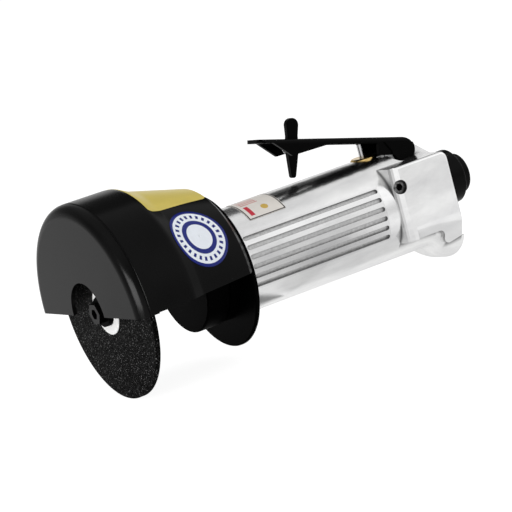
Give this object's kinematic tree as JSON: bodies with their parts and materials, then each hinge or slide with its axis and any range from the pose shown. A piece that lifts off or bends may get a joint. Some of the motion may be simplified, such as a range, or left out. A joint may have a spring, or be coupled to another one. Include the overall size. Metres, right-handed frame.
{
  "type": "straight cut-off grinder",
  "caption": "In-line air grinder with a thin cutting wheel under a half hood, a grooved aluminium barrel, a lever throttle with a folding lock-off lever and a threaded air inlet.",
  "frame": {"origin": "centre of the air inlet's mouth", "axes": "+X out of the air inlet, along the tool; +Z towards the throttle lever; the spindle runs along X, 3.6 mm below the inlet"},
  "size_m": [0.19, 0.0916, 0.0876],
  "materials": {
    "body_aluminium": "satin polished casting",
    "black_enamel": "gloss black enamel",
    "black_steel": "black oxide, oiled",
    "lever_black": "satin black coating",
    "abrasive": "resin-bonded grit",
    "label_paper": "plain paper blotter",
    "bright_steel": "turned and ground",
    "motor_iron": "ground",
    "brass": "turned",
    "vane_resin": "laminated resin",
    "seal_rubber": "moulded",
    "silencer_felt": "pressed felt"
  },
  "bodies": {
    "housing": {"housing": "body_aluminium", "cylinder_liner": "motor_iron", "front_end_plate": "motor_iron", "rear_end_plate": "motor_iron", "front_bearing_outer_ring": "bright_steel", "front_bearing_balls": "bright_steel", "rear_bearing_outer_ring": "bright_steel", "rear_bearing_balls": "bright_steel", "nose_nut": "black_steel", "lever_pin": "lever_black", "valve_bush": "brass", "valve_spring": "bright_steel", "set_screw": "black_steel", "inlet_bushing": "black_steel", "inlet_collar": "black_steel", "inlet_screen": "brass", "exhaust_silencer": "silencer_felt"},
    "spindle": {"rotor": "bright_steel", "rotor_vanes": "vane_resin", "front_bearing_inner_ring": "bright_steel", "rear_bearing_inner_ring": "bright_steel", "inner_flange": "bright_steel", "cutting_wheel": "abrasive", "wheel_label": "label_paper", "outer_washer": "black_steel", "wheel_screw": "black_steel"},
    "guard": {"guard_plate": "black_enamel", "guard_hood": "black_enamel"},
    "lever": {"throttle_lever": "lever_black", "lock_pin": "lever_black", "lock_spring": "bright_steel"},
    "lock": {"lock_lever": "lever_black"},
    "valve": {"valve_stem": "bright_steel", "valve_seal": "seal_rubber"}
  },
  "joints": [
    {"name": "spindle_spin", "type": "hinge", "parent": "housing", "child": "spindle", "pos_m": [0, 0, -0.0036], "axis": [1, 0, 0], "continuous": true},
    {"name": "guard_swivel", "type": "hinge", "parent": "housing", "child": "guard", "pos_m": [-0.1302, 0, -0.0036], "axis": [1, 0, 0], "range_deg": [-90, 90]},
    {"name": "lever_press", "type": "hinge", "parent": "housing", "child": "lever", "pos_m": [-0.0297, 0, 0.019], "axis": [0, -1, 0], "range_deg": [0, 5.8], "stiffness_Nm_per_rad": 0.5, "springref_deg": -22.92},
    {"name": "lock_fold", "type": "hinge", "parent": "lever", "child": "lock", "pos_m": [-0.07915, 0, 0.03399], "axis": [0, -1, 0], "range_deg": [0, 81.2]},
    {"name": "valve_slide", "type": "slide", "parent": "housing", "child": "valve", "axis": [0, 0, -1], "range_m": [0, 0.00171], "deforming": ["valve_spring"]}
  ],
  "couplings": [
    {"joint": "lock_fold", "follows": "lever_press", "ratio": 14},
    {"joint": "valve_slide", "follows": "lever_press", "m_per_rad": 0.016902}
  ]
}
